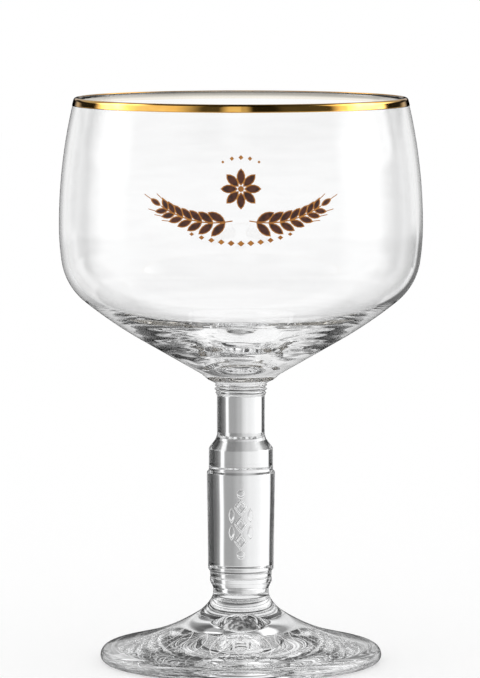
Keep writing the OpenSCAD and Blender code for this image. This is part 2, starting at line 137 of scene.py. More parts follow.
# Rows of the bowl's flat seat between the axis and its edge
SEAT_ROWS = 2
# A corner with a half angle over NEAR_STRAIGHT stays, and a small arc takes at most a side's length over SIDE_PART
NEAR_STRAIGHT, SIDE_PART = 89, 2.2
ON_AXIS, TOUCH, TINY = 1e-9, 1e-6, 1e-12

# Glass. A surface is the size and depth of its slight waves.
IOR = 1.5
BOWL_TINT, STEM_TINT = (0.995, 0.996, 0.997), (0.975, 0.98, 0.985)
CORD_SIZE, CORD_STRETCH, CORD_SHADE = 2.5*MM, (6.0, 6.0, 1.0), 0.985
BOWL_SURFACE, STEM_SURFACE = (9.0*MM, 0.0004*MM), (4.0*MM, 0.0015*MM)
# Painted highlight on the edges of the stem's relief and of the foot's leaves and beads: its white, and its
# largest share
HIGHLIGHT_WHITE, HIGHLIGHT_SHARE = (0.95, 0.95, 0.95), 0.7
# Distances from the edge of a leaf or bead at which its painted highlight line begins and is full
LEAF_HIGHLIGHT_LINE = (0.26*MM, 0.08*MM)
# Painted shade: near-black streaks in the tint of the dome under the foot
STREAK_SIZE, STREAK_STRETCH, STREAK_RANGE = 1.0*MM, (1.0, 1.0, 6.0), (0.44, 0.60)
STREAK_SHADE, STREAK_CLEAR = (0.03, 0.03, 0.03), (0.97, 0.97, 0.97)

# Gold and enamels
CLEAR = (1.0, 1.0, 1.0)
GOLD_DARK, GOLD_LIGHT, GOLD_BACK = (0.84, 0.45, 0.10), (0.93, 0.56, 0.15), (0.95, 0.90, 0.81)
GOLD_PATCH, GOLD_STRETCH, GOLD_RUB, GOLD_BUMP = 2.0*MM, (3.0, 3.0, 1.0), 0.15*MM, 0.0004*MM
GOLD_ROUGHNESS = (0.045, 0.085)
BROWN_THIN, BROWN_THICK = (0.105, 0.027, 0.011), (0.045, 0.012, 0.006)
GOLD_PRINT_THIN, GOLD_PRINT_THICK = (0.55, 0.22, 0.03), (0.42, 0.15, 0.02)
PRINT_CLOUD, PRINT_GRAIN, PRINT_BUMP = 1.6*MM, 0.12*MM, 0.002*MM
PRINT_ROUGHNESS = (0.25, 0.45)
CLOUD_RANGE, GRAIN_RANGE, NOISE_DETAIL = (0.35, 0.65), (0.3, 0.7), 3.0

# Floor
FLOOR_RADIUS, FLOOR_CORNERS, FLOOR_DROP, FLOOR_GREY = 3.0, 96, 0.2*MM, 0.6

# Studio. A panel is (from, to, brightness), and the gaps between panels are gradients.
# What the glass shows behind it, by azimuth from straight behind, positive to the right
BEHIND_STEM = ((-180, -150, 0.85), (-125, -115, 0.4), (-100, -78, 0.8), (-72, -51, 0.01), (-48, -34, 1.12),
               (-14, -9, 0.88), (-4, -3, 0.7), (0, 4, 0.46), (9, 21, 0.33), (23, 27, 1.15), (29.5, 30.5, 0.25),
               (37, 38, 0.05), (42, 72, 0.01), (78, 100, 0.8), (115, 125, 0.4), (150, 180, 0.85))
BEHIND_FOOT = ((-180, -150, 1.0), (-125, -115, 0.35), (-100, -68, 1.0), (-62, -57, 0.02), (-54, -30, 1.15),
               (-14, -9, 0.8), (-4, -3, 0.66), (0, 4, 0.4), (9, 20, 0.25), (23, 30, 1.2), (34, 37, 0.1),
               (44, 62, 0.02), (70, 100, 1.0), (115, 125, 0.35), (150, 180, 1.0))
BEHIND_BOWL = ((-180, -76, 1.0), (-64, -48, 0.03), (-38, 38, 1.0), (48, 64, 0.03), (76, 180, 1.0))
# The same by elevation: below the foot's panels, and a factor on all but the bowl's
BELOW = ((-90, -56, 0.9), (-49, -36, 0.03))
HEIGHT_FACTOR = ((-90, -30, 1.0), (-27, -21, 0.75), (-17, 9, 1.0), (13, 19, 0.35), (23, 40, 1.3),
                 (46, 62, 0.3), (70, 90, 0.1))
# Elevations over which one set gives way to the next
STEM_TO_FOOT, FOOT_TO_BELOW = (-9.6, -10.2), (-28, -31)
BOWL_TO_TOP, TOP_LEVEL = (28, 40), 1.0
BOWL_TO_GROUND, GROUND_LEVEL = (-16, -22), 0.9
BOWL_NARROWS, BOWL_NARROWING = (5, 12), 1.15
# Where light has passed both walls of the bowl, or comes in over its rim, it shows the bowl's panels
BOTH_WALLS, NOT_BELOW = 3.5, (-44, -38)
OVER_RIM_RISE, OVER_RIM_FALL = (-5.5, -3.0), (8, 3)
# What surfaces reflect, by azimuth: the stem, the level walls of the bowl, and the rim that faces up a little
REFLECTED_STEM = ((-180, -150, 0.6), (-133, -105, 0.8), (-96, -74, 1.2), (-66, -30, 0.08), (-22, 22, 0.0),
                  (30, 66, 0.08), (84, 106, 1.2), (116, 180, 0.6))
REFLECTED_LOW = ((-180, -150, 0.6), (-133, -105, 0.8), (-96, -74, 2.1), (-66, -30, 0.6), (-22, 22, 0.0),
                 (30, 66, 0.6), (84, 106, 2.1), (116, 180, 0.6))
REFLECTED_MID = ((-180, -150, 0.6), (-133, -105, 0.8), (-96, -74, 3.5), (-60, -20, 0.02), (-14, 14, 0.5),
                 (20, 60, 0.02), (66, 106, 3.5), (116, 180, 0.6))
REFLECTED_HIGH = ((-180, -171, 0.9), (-165, -152, 0.08), (-133, -105, 1.1), (-97, -92, 1.8), (-86, -66, 4.5),
                  (-55, -52, 0.4), (-42, 42, 0.5), (60, 90, 4.5), (101, 105, 1.6), (114, 150, 0.08),
                  (155, 172, 0.02), (176, 180, 0.6))
REFLECTED_ABOVE = ((-6.6, -4.4, REFLECTED_LOW), (4, 6.5, REFLECTED_MID), (13, 18, REFLECTED_HIGH))
REFLECTED_FACTOR = ((-90, -50, 0.8), (0, 40, 1.0), (56, 90, 0.03))
PANEL_SOFTNESS = 0.4
# Light of the tent, and a depth that every light past a diffuse surface is over
TENT_LEVEL, PAST_DIFFUSE = 1.0, 0.5
BOUNCES = 48

# Camera, fitted to the photograph's outline
IMAGE_W, IMAGE_H = 480, 678
AXIS_PIXEL_X = 240.9
CAMERA_FOCAL_PIXELS = 4667.7
CAMERA_DISTANCE, CAMERA_HEIGHT, CAMERA_PITCH = 1354.6*MM, 223.2*MM, 5.4267
CAMERA_REACH = 20
SENSOR = 36.0


def sin(degrees):
    return math.sin(math.radians(degrees))


def cos(degrees):
    return math.cos(math.radians(degrees))


# Outlines: points are (radius, height), and headings are in degrees from outwards to upwards
def arc_end(p, heading, radius, turn):
    side = math.copysign(1.0, turn)
    return (p[0] + radius*side*(sin(heading + turn) - sin(heading)),
            p[1] + radius*side*(cos(heading) - cos(heading + turn)))


def arc(p, heading, radius, turn, step):
    """Points along the arc, without its first one."""
    n = max(2, math.ceil(abs(turn)/step))
    return [arc_end(p, heading, radius, turn*i/n) for i in range(1, n + 1)]


def line(p, q, step):
    """Points along the line, without its first one."""
    n = max(1, math.ceil(math.dist(p, q)/step))
    return [(p[0] + (q[0] - p[0])*i/n, p[1] + (q[1] - p[1])*i/n) for i in range(1, n + 1)]


def rounded(points, radius, step=EDGE_STEP):
    """The outline with each inner corner turned into a small arc."""
    out = [points[0]]
    for a, b, c in zip(points, points[1:], points[2:]):
        a, b, c = Vector(a), Vector(b), Vector(c)
        u, w = (a - b).normalized(), (c - b).normalized()
        half = math.acos(max(-1.0, min(1.0, u.dot(w))))/2
        if half > math.radians(NEAR_STRAIGHT):
            out.append(tuple(b))
            continue
        d = min(radius/math.tan(half), (a - b).length/SIDE_PART, (c - b).length/SIDE_PART)
        r = d*math.tan(half)
        centre = b + (u + w).normalized()*r/math.sin(half)
        start, stop = b + u*d - centre, b + w*d - centre
        first = math.atan2(start.y, start.x)
        swing = math.atan2(start.x*stop.y - start.y*stop.x, start.dot(stop))
        n = max(2, math.ceil(abs(math.degrees(swing))/step))
        out += [(centre.x + r*math.cos(first + swing*i/n), centre.y + r*math.sin(first + swing*i/n))
                for i in range(n + 1)]
    return out + [points[-1]]


def densify(points, step):
    out = [points[0]]
    for p, q in zip(points, points[1:]):
        out += line(p, q, step)
    return out


# Outline of the bowl, worked out from its sizes
BOWL_Z, RIM_Z = BOWL_LOW[2], BOWL_HIGH[2]
BOWL_R = BOWL_D/2
CONE_RUN = (BOWL_R - BUTTON[1][0] - FLOOR_R*(sin(FLOOR_END_SLOPE) - sin(FLOOR_SLOPE))
            - SHOULDER_R*(sin(SHOULDER_END_SLOPE) - sin(FLOOR_END_SLOPE))
            - SIDE_R*(1 - sin(SHOULDER_END_SLOPE)))/cos(FLOOR_SLOPE)
SEAT = (SEAT_D/2, BOWL_Z)
CONE_START = (BUTTON[1][0], BOWL_Z + BUTTON[1][1])
CONE_END = (CONE_START[0] + CONE_RUN*cos(FLOOR_SLOPE), CONE_START[1] + CONE_RUN*sin(FLOOR_SLOPE))
FLOOR_END = arc_end(CONE_END, FLOOR_SLOPE, FLOOR_R, FLOOR_END_SLOPE - FLOOR_SLOPE)
SHOULDER_END = arc_end(FLOOR_END, FLOOR_END_SLOPE, SHOULDER_R, SHOULDER_END_SLOPE - FLOOR_END_SLOPE)
WIDEST_Z = SHOULDER_END[1] + SIDE_R*cos(SHOULDER_END_SLOPE)
RISE, INSET = RIM_Z - WIDEST_Z, BOWL_R - RIM_D/2
UPPER_R = (RISE*RISE + INSET*INSET)/(2*INSET)
LIP_R = WALL_T/2
LIP_ANGLE = math.degrees(math.asin((RISE - LIP_R)/(UPPER_R - LIP_R)))
LIP_CENTRE = (BOWL_R - UPPER_R + (UPPER_R - LIP_R)*cos(LIP_ANGLE),
              WIDEST_Z + (UPPER_R - LIP_R)*sin(LIP_ANGLE))


def bowl_outside():
    """From the seat up to the lip."""
    corners = [SEAT] + [(r, BOWL_Z + rise) for r, rise in BUTTON] + [CONE_END]
    points = densify(rounded(corners, EDGE_R), CONE_STEP)
    points += arc(CONE_END, FLOOR_SLOPE, FLOOR_R, FLOOR_END_SLOPE - FLOOR_SLOPE, FLOOR_STEP)
    points += arc(FLOOR_END, FLOOR_END_SLOPE, SHOULDER_R, SHOULDER_END_SLOPE - FLOOR_END_SLOPE, SHOULDER_STEP)
    points += arc(SHOULDER_END, SHOULDER_END_SLOPE, SIDE_R, 90 - SHOULDER_END_SLOPE, SIDE_STEP)
    points += arc((BOWL_R, WIDEST_Z), 90, UPPER_R, LIP_ANGLE, UPPER_STEP)
    return points


def bowl_inside():
    """From the axis up to the lip. Side and shoulder are even, and the floor thickens towards the middle."""
    bottom = (0.0, BOWL_Z + FLOOR_T)
    cup_end = arc_end(bottom, 0, CUP_R, CUP_SLOPE)
    shoulder = (FLOOR_END[0] - WALL_T*sin(FLOOR_END_SLOPE), FLOOR_END[1] + WALL_T*cos(FLOOR_END_SLOPE))
    # A straight run and a wide arc lead from the round bottom to the shoulder
    gap = (shoulder[0] - cup_end[0], shoulder[1] - cup_end[1])
    run = (cos(CUP_SLOPE), sin(CUP_SLOPE))
    bend = (sin(FLOOR_END_SLOPE) - sin(CUP_SLOPE), cos(CUP_SLOPE) - cos(FLOOR_END_SLOPE))
    det = run[0]*bend[1] - run[1]*bend[0]
    length = (gap[0]*bend[1] - gap[1]*bend[0])/det
    swell_r = (run[0]*gap[1] - run[1]*gap[0])/det
    swell = (cup_end[0] + length*run[0], cup_end[1] + length*run[1])
    points = [bottom] + arc(bottom, 0, CUP_R, CUP_SLOPE, CUP_STEP) + line(cup_end, swell, CUP_RUN_STEP)
    points += arc(swell, CUP_SLOPE, swell_r, FLOOR_END_SLOPE - CUP_SLOPE, SWELL_STEP)
    points += arc(shoulder, FLOOR_END_SLOPE, SHOULDER_R - WALL_T, SHOULDER_END_SLOPE - FLOOR_END_SLOPE,
                  SHOULDER_STEP)
    points += arc(points[-1], SHOULDER_END_SLOPE, SIDE_R - WALL_T, 90 - SHOULDER_END_SLOPE, SIDE_STEP)
    points += arc((BOWL_R - WALL_T, WIDEST_Z), 90, UPPER_R - WALL_T, LIP_ANGLE, UPPER_STEP)
    return points


def lip_turn(off):
    """Half round over the lip from outside to inside, moved outwards by off."""
    start = (LIP_CENTRE[0] + (LIP_R + off)*cos(LIP_ANGLE), LIP_CENTRE[1] + (LIP_R + off)*sin(LIP_ANGLE))
    return arc(start, 90 + LIP_ANGLE, LIP_R + off, 180, LIP_STEP)


def upper_wall(low, off, count):
    """Points of the upper wall from height low to the lip, moved outwards by off."""
    first = math.degrees(math.asin((low - WIDEST_Z)/UPPER_R))
    out = []
    for i in range(count + 1):
        a = first + (LIP_ANGLE - first)*i/count
        out.append((BOWL_R - UPPER_R + (UPPER_R + off)*cos(a), WIDEST_Z + (UPPER_R + off)*sin(a)))
    return out


def collar_outside():
    """From the neck up to the bowl's seat, with its rings and its flare."""
    low, high = COLLAR_LOW[2], COLLAR_HIGH[2]
    points = []
    for i in range(COLLAR_ROWS + 1):
        share = i/COLLAR_ROWS
        flare = max(0, (share - COLLAR_FLARE_SHARE)/(1 - COLLAR_FLARE_SHARE))
        r = COLLAR_D/2 + (SEAT_D - COLLAR_D)/2*flare
        for place, out in COLLAR_RINGS:
            r = max(r, COLLAR_D/2 + out*math.exp(-((share - place)/COLLAR_RING_SHARE)**2))
        points.append((r, low + (high - low)*share))
    points[0], points[-1] = (COLLAR_D/2, low), (SEAT_D/2, high)
    return points


def stem_outside():
    """From the seam with the foot up to the weld."""
    z = STEM_LOW[2]
    points = [(SEAM_D/2, z)]
    groove = GROOVE_W/2
    for radius, rise in ((SEAM_D/2, SEAM_H), (BASE_D/2, TAPER_H), (BASE_D/2, BASE_H/2 - groove),
                         (BASE_D/2 - groove, groove), (BASE_D/2, groove), (BASE_D/2, BASE_H/2 - groove),
                         (BARREL_BASE_D/2, STEP_H), (BARREL_TOP_D/2, BARREL_H), (DRUM_D/2, STEP_H),
                         (DRUM_D/2, DRUM_H), (BEAD_D/2, CONE_H), (NECK_D/2, BEAD_H)):
        z += rise
        points.append((radius, z))
    points.append((NECK_D/2, STEM_HIGH[2]))
    return points


def foot_top():
    """From the heel up to the seam."""
    run = (FOOT_D/2 - SEAM_D/2 - THROAT_R*(1 - sin(WAIST_SLOPE))
           - WAIST_R*(sin(WAIST_SLOPE) - sin(FLARE_SLOPE)) - FLARE_R*(sin(FLARE_SLOPE) - sin(BRIM_SLOPE))
           - BRIM_R*(1 - sin(BRIM_SLOPE)))/cos(BRIM_SLOPE)
    a = (FOOT_D/2, HEEL_R)
    b = arc_end(a, 90, BRIM_R, 90 - BRIM_SLOPE)
    c = (b[0] - run*cos(BRIM_SLOPE), b[1] + run*sin(BRIM_SLOPE))
    d = arc_end(c, 180 - BRIM_SLOPE, FLARE_R, BRIM_SLOPE - FLARE_SLOPE)
    e = arc_end(d, 180 - FLARE_SLOPE, WAIST_R, FLARE_SLOPE - WAIST_SLOPE)
    points = [a] + arc(a, 90, BRIM_R, 90 - BRIM_SLOPE, BRIM_STEP) + line(b, c, BRIM_RUN_STEP)
    points += arc(c, 180 - BRIM_SLOPE, FLARE_R, BRIM_SLOPE - FLARE_SLOPE, FLARE_STEP)
    points += arc(d, 180 - FLARE_SLOPE, WAIST_R, FLARE_SLOPE - WAIST_SLOPE, WAIST_STEP)
    points += arc(e, 180 - WAIST_SLOPE, THROAT_R, WAIST_SLOPE - 90, THROAT_STEP)
    return points


def foot_under():
    """From the flat ring in to the top of the dome on the axis."""
    outer = (FOOT_D/2 - HEEL_R, 0.0)
    inner = (outer[0] - REST_W, 0.0)
    corners = [outer, inner, (inner[0] - HOLLOW_EDGE_H, HOLLOW_EDGE_H), (DOME_D/2, HOLLOW_H)]
    points = densify(rounded(corners, HOLLOW_EDGE_H), HOLLOW_STEP)
    for i in range(DOME_ROWS - 1, -1, -1):
        share = i/DOME_ROWS
        points.append((DOME_D/2*share, HOLLOW_H + (DOME_TOP - HOLLOW_H)*(1 - share*share)))
    return points


UNDER = foot_under()
HEEL = arc((FOOT_D/2 - HEEL_R, 0.0), 0, HEEL_R, 90, HEEL_STEP)
UNDER_ROWS = len(UNDER) + len(HEEL)


# Meshes
def new_piece(name, verts, faces):
    mesh = bpy.data.meshes.new(name)
    mesh.from_pydata(verts, [], faces)
    mesh.validate()
    mesh.polygons.foreach_set("use_smooth", [True]*len(mesh.polygons))
    piece = bpy.data.objects.new(name, mesh)
    bpy.context.scene.collection.objects.link(piece)
    return piece


def turned(name, outline, angles, shift):
    """A closed mesh: the outline, which starts and ends on the axis, turned about Z.

    shift(radius, angle, height) gives how far a point moves along its outward normal.
    """
    rings = [p for p in outline if p[0] > ON_AXIS]
    count = len(angles)
    r = np.array([p[0] for p in rings])
    z = np.array([p[1] for p in rings])
    full = np.array([(0.0, outline[0][1])] + rings + [(0.0, outline[-1][1])])
    along = full[2:] - full[:-2]
    along /= np.maximum(np.linalg.norm(along, axis=1), TINY)[:, None]
    normal = np.stack([along[:, 1], -along[:, 0]], 1)
    rr, aa = np.meshgrid(r, np.asarray(angles), indexing="ij")
    zz = np.repeat(z[:, None], count, 1)
    d = shift(rr, aa, zz)
    rr = rr + d*normal[:, 0:1]
    zz = zz + d*normal[:, 1:2]
    verts = np.stack([rr*np.sin(aa), -rr*np.cos(aa), zz], -1).reshape(-1, 3)
    first, last = len(verts), len(verts) + 1
    verts = np.vstack([verts, [(0, 0, outline[0][1])], [(0, 0, outline[-1][1])]])
    faces = []
    for i in range(len(rings) - 1):
        for j in range(count):
            k = (j + 1) % count
            faces.append((i*count + j, i*count + k, (i + 1)*count + k, (i + 1)*count + j))
    top = (len(rings) - 1)*count
    for j in range(count):
        k = (j + 1) % count
        faces.append((first, k, j))
        faces.append((last, top + j, top + k))
    return new_piece(name, verts.tolist(), faces)


def ring(name, loop, count):
    """A closed loop of points turned about Z."""
    verts, faces = [], []
    for j in range(count):
        a = 2*math.pi*j/count
        verts += [(r*math.sin(a), -r*math.cos(a), z) for r, z in loop]
    n = len(loop)
    for j in range(count):
        k = (j + 1) % count
        for i in range(n):
            m = (i + 1) % n
            faces.append((j*n + i, k*n + i, k*n + m, j*n + m))
    return new_piece(name, verts, faces)


def even_angles(count):
    return [2*math.pi*i/count for i in range(count)]


# Unevenness of the surfaces
def fade(value, start, run):
    """0 at start and 1 after run. With a negative run it is 1 before that and falls to 0 at start."""
    return np.clip((value - start)/run, 0, 1)


def soft_step(t):
    return t*t*(3 - 2*t)


def waves(seed, length, depth):
    """A smooth unevenness of the surface: a few sines of angle and height."""
    rng = np.random.default_rng(seed)
    terms = []
    for _ in range(WAVE_TERMS):
        terms.append((rng.integers(*WAVE_TURNS), rng.uniform(*WAVE_RATES)*2*math.pi/length,
                      rng.uniform(*WAVE_PHASES), rng.uniform(*WAVE_WEIGHTS)))
    total = sum(t[3] for t in terms)

    def shift(r, a, z):
        out = np.zeros_like(r)
        for turns, rate, phase, weight in terms:
            out += weight*np.sin(turns*a + rate*z + phase)
        return depth*out/total
    return shift


def mould_rings(r, a, sways, pitches):
    """Fine rings round the axis, a little out of round."""
    swirl = r
    for times, size, phase in sways:
        swirl = swirl + size*np.sin(times*a + phase)
    return sum(share*np.sin(2*math.pi*swirl/pitch + phase) for pitch, share, phase in pitches)


collar_wave = waves(*COLLAR_WAVE)
stem_wave = waves(*STEM_WAVE)
foot_wave = waves(*FOOT_WAVE)


def bowl_shift(r, a, z):
    """Rings that the mould left on the inside of the thick floor."""
    row = np.arange(len(r))[:, None]
    inside = row > SEAT_ROWS + len(bowl_outside()) + len(lip_turn(0)) + 1
    strength = fade(r, *RIPPLE_RISE)*fade(r, *RIPPLE_FALL)
    return np.where(inside, RIPPLE*strength*mould_rings(r, a, RIPPLE_SWAY, RIPPLE_PITCHES), 0.0)


def collar_shift(r, a, z):
    share = (z - COLLAR_LOW[2])/(COLLAR_HIGH[2] - COLLAR_LOW[2])
    ends = np.clip(share*COLLAR_FADE, 0, 1)*np.clip((1 - share)*COLLAR_FADE, 0, 1)
    return ends*collar_wave(r, a, z)


def relief_depth(r, a, z):
    """How far inside the ornament's outline a point lies, in millimetres: lozenges, lenses and discs."""
    barrel_low = STEM_LOW[2] + SEAM_H + TAPER_H + BASE_H + STEP_H
    u = r*np.arctan2(np.sin(a), np.cos(a))
    v = z - (barrel_low + BARREL_H/2)

    def lozenge(i, size):
        return np.abs(u)/(RELIEF_W*size[0]) + np.abs(v - i*RELIEF_PITCH)/(RELIEF_PITCH*size[1])

    best = np.full(r.shape, NO_RELIEF)
    for i in (-1, 0, 1):
        outer = (1 - lozenge(i, LOZENGE))*RELIEF_W*LOZENGE_FALL
        inner = (lozenge(i, LOZENGE_HOLE) - 1)*RELIEF_W*LOZENGE_HOLE_FALL
        best = np.maximum(best, np.minimum(outer, inner)/MM)
    width, length = RELIEF_W*RELIEF_LENS[0], RELIEF_PITCH*RELIEF_LENS[1]
    radius = (length**2 + width**2)/(4*width)
    for side in (-1, 1):
        disc_r = RELIEF_PITCH*RELIEF_DISC
        best = np.maximum(best, (disc_r - np.hypot(u, v - side*(RELIEF_H/2 - disc_r)))/MM)
        for i in (-1, 1):
            cu, cv = side*RELIEF_W*RELIEF_LENS_PLACE[0], i*RELIEF_PITCH*RELIEF_LENS_PLACE[1]
            lens = np.minimum(radius - np.hypot(u - cu - (radius - width/2), v - cv),
                              radius - np.hypot(u - cu + (radius - width/2), v - cv))
            best = np.maximum(best, lens/MM)
    return np.where(np.cos(a) > 0, best, NO_RELIEF)


def stem_shift(r, a, z):
    relief = RELIEF_OUT*soft_step(np.clip(relief_depth(r, a, z)/FLANK_W + FLANK_OUTSIDE, 0, 1))
    ends = fade(z, STEM_LOW[2], WAVE_FADE)*fade(z, STEM_HIGH[2], -WAVE_FADE)
    return relief + ends*stem_wave(r, a, z)


def foot_relief(r, a):
    """Ring of raised pointed leaves with a bead between each two."""
    turn = 2*math.pi/LEAVES
    near = (a + turn/2) % turn - turn/2
    u, v = r*np.cos(near) - LEAF_MIDDLE_R, r*np.sin(near)
    leaf = np.minimum(LEAF_R - np.hypot(u, v - (LEAF_R - LEAF_W/2)),
                      LEAF_R - np.hypot(u, v + (LEAF_R - LEAF_W/2)))
    mid = a % turn - turn/2
    bead = LEAF_BEAD_R - np.hypot(r*np.cos(mid) - LEAF_BEAD_PLACE_R, r*np.sin(mid))
    return LEAF_OUT*soft_step(np.clip(np.maximum(leaf, bead)/(LEAF_W/2), 0, 1))


def foot_shift(r, a, z):
    """Relief, waves and rings on the upper side only, which comes after the rows of the under side."""
    row = np.arange(len(r))[:, None]
    ends = fade(z, WAVE_FADE, WAVE_FADE)*fade(z, FOOT_HIGH[2], -WAVE_FADE)
    rings = fade(r, *BRIM_RING_RISE)*mould_rings(r, a, BRIM_RING_SWAY, BRIM_RING_PITCHES)
    moved = foot_relief(r, a) + ends*(foot_wave(r, a, z) + BRIM_RINGS*rings)
    return np.where(row > UNDER_ROWS, moved, 0.0)


# Shader nodes
def node(tree, kind, **settings):
    made = tree.nodes.new(kind)
    for key, value in settings.items():
        setattr(made, key, value)
    return made


def maths(tree, operation, *values):
    """A Math node on sockets or plain numbers, and its result."""
    made = node(tree, "ShaderNodeMath", operation=operation)
    for i, value in enumerate(values):
        if isinstance(value, (int, float)):
            made.inputs[i].default_value = value
        else:
            tree.links.new(value, made.inputs[i])
    return made.outputs[0]


def length_of(tree, u, v):
    return maths(tree, "SQRT", maths(tree, "ADD", maths(tree, "MULTIPLY", u, u), maths(tree, "MULTIPLY", v, v)))


def panels_over(tree, value, reach, panels):
    """Brightness of the panels along an angle that runs from -reach to reach."""
    spread = node(tree, "ShaderNodeMapRange", clamp=True)
    spread.inputs["From Min"].default_value = -reach
    spread.inputs["From Max"].default_value = reach
    tree.links.new(value, spread.inputs["Value"])
    made = node(tree, "ShaderNodeValToRGB")
    stops = []
    for start, end, level in panels:
        for place in (start + PANEL_SOFTNESS, end - PANEL_SOFTNESS):
            stops.append((max(0.0, min(1.0, (place + reach)/(2*reach))), level))
    elements = made.color_ramp.elements
    while len(elements) < len(stops):
        elements.new(0.5)
    # The stops change order while they are placed, so their levels are set in a second round
    for element, (place, level) in zip(elements, stops):
        element.position = place
    for element, (place, level) in zip(elements, stops):
        element.position = place
        element.color = (level, level, level, 1)
    tree.links.new(spread.outputs["Result"], made.inputs["Fac"])
    return made.outputs["Color"]


def mixed(tree, factor, a, b):
    """a where factor is 0, b where it is 1; each is a socket, a grey level or a colour."""
    made = node(tree, "ShaderNodeMix", data_type="RGBA")
    for name, value in (("Factor", factor), ("A", a), ("B", b)):
        sockets = [s for s in made.inputs if s.name == name and s.enabled]
        if isinstance(value, (int, float)):
            sockets[0].default_value = value if name == "Factor" else (value, value, value, 1)
        elif isinstance(value, tuple):
            sockets[0].default_value = (*value, 1)
        else:
            tree.links.new(value, sockets[0])
    return [s for s in made.outputs if s.enabled][0]


def smooth(tree, value, low, high, start=0.0, stop=1.0):
    """From start at low to stop at high, with a soft beginning and end."""
    made = node(tree, "ShaderNodeMapRange", interpolation_type="SMOOTHSTEP", clamp=True)
    for name, setting in (("From Min", low), ("From Max", high), ("To Min", start), ("To Max", stop)):
        made.inputs[name].default_value = setting
    tree.links.new(value, made.inputs["Value"])
    return made.outputs["Result"]


def noise(tree, size, stretch=(1.0, 1.0, 1.0)):
    """Noise in the piece's own coordinates, with features of about that size."""
    place = node(tree, "ShaderNodeMapping")
    place.inputs["Scale"].default_value = tuple(1/(size*s) for s in stretch)
    tree.links.new(node(tree, "ShaderNodeTexCoord").outputs["Object"], place.inputs["Vector"])
    made = node(tree, "ShaderNodeTexNoise")
    made.inputs["Scale"].default_value = 1.0
    made.inputs["Detail"].default_value = NOISE_DETAIL
    tree.links.new(place.outputs[0], made.inputs["Vector"])
    return made.outputs["Fac"]


def bump(tree, shader, height, depth):
    """Unevenness of that depth on the shader's surface."""
    made = node(tree, "ShaderNodeBump")
    made.inputs["Strength"].default_value = 1.0
    made.inputs["Distance"].default_value = depth
    tree.links.new(height, made.inputs["Height"])
    tree.links.new(made.outputs["Normal"], shader.inputs["Normal"])


def either(tree, share, shader, other):
    """The material's surface: shader where share is 0, and the other one where it is 1."""
    made = node(tree, "ShaderNodeMixShader")
    tree.links.new(share, made.inputs[0])
    tree.links.new(shader.outputs[0], made.inputs[1])
    tree.links.new(other.outputs[0], made.inputs[2])
    tree.links.new(made.outputs[0], tree.nodes["Material Output"].inputs["Surface"])


# Materials
def principled(name):
    material = bpy.data.materials.new(name)
    material.use_nodes = True
    return material, material.node_tree, material.node_tree.nodes["Principled BSDF"]


def glass(name, tint, surface):
    """Clear glass with faint cords of another tint, and the slight waves of its making."""
    material, tree, shader = principled(name)
    shader.inputs["Transmission Weight"].default_value = 1.0
    shader.inputs["Roughness"].default_value = 0.0
    shader.inputs["IOR"].default_value = IOR
    cords = smooth(tree, noise(tree, CORD_SIZE, CORD_STRETCH), *CLOUD_RANGE)
    dark = tuple(CORD_SHADE*part for part in tint)
    tree.links.new(mixed(tree, cords, dark, tint), shader.inputs["Base Color"])
    bump(tree, shader, noise(tree, surface[0]), surface[1])
    return material, tree, shader


def see_through(name, tint):
    """Lets light pass straight on: fused faces between pieces of glass, and the back of the gilding."""
    material = bpy.data.materials.new(name)
    material.use_nodes = True
    tree = material.node_tree
    tree.nodes.clear()
    out = tree.nodes.new("ShaderNodeOutputMaterial")
    clear = tree.nodes.new("ShaderNodeBsdfTransparent")
    clear.inputs["Color"].default_value = (*tint, 1)
    tree.links.new(clear.outputs[0], out.inputs["Surface"])
    return material


def gilding(name):
    """Burnished gold, clear when seen from its back: thin gilding lets some light through."""
    material, tree, shader = principled(name)
    clear = node(tree, "ShaderNodeBsdfTransparent")
    clear.inputs["Color"].default_value = (*CLEAR, 1)
    either(tree, node(tree, "ShaderNodeNewGeometry").outputs["Backfacing"], shader, clear)
    shader.inputs["Metallic"].default_value = 1.0
    thin = smooth(tree, noise(tree, GOLD_PATCH, GOLD_STRETCH), *GRAIN_RANGE)
    tree.links.new(mixed(tree, thin, GOLD_DARK, GOLD_LIGHT), shader.inputs["Base Color"])
    rub = noise(tree, GOLD_RUB)
    tree.links.new(smooth(tree, rub, *GRAIN_RANGE, *GOLD_ROUGHNESS), shader.inputs["Roughness"])
    bump(tree, shader, rub, GOLD_BUMP)
    return material


def enamel(name, thin, thick):
    """Fired print: cloudy where the coat is thinner, with a fine grain in its gloss."""
    material, tree, shader = principled(name)
    cloud = smooth(tree, noise(tree, PRINT_CLOUD), *CLOUD_RANGE)
    grain = noise(tree, PRINT_GRAIN)
    tree.links.new(mixed(tree, cloud, thick, thin), shader.inputs["Base Color"])
    tree.links.new(smooth(tree, grain, *GRAIN_RANGE, *PRINT_ROUGHNESS), shader.inputs["Roughness"])
    bump(tree, shader, grain, PRINT_BUMP)
    return material


def paint_highlight(tree, shader, share):
    """Paints a highlight: turns that share of the clear surface white, standing in for the light that rounded
    edges of pressed glass catch.
    """
    white = node(tree, "ShaderNodeBsdfDiffuse")
    white.inputs["Color"].default_value = (*HIGHLIGHT_WHITE, 1)
    either(tree, share, shader, white)


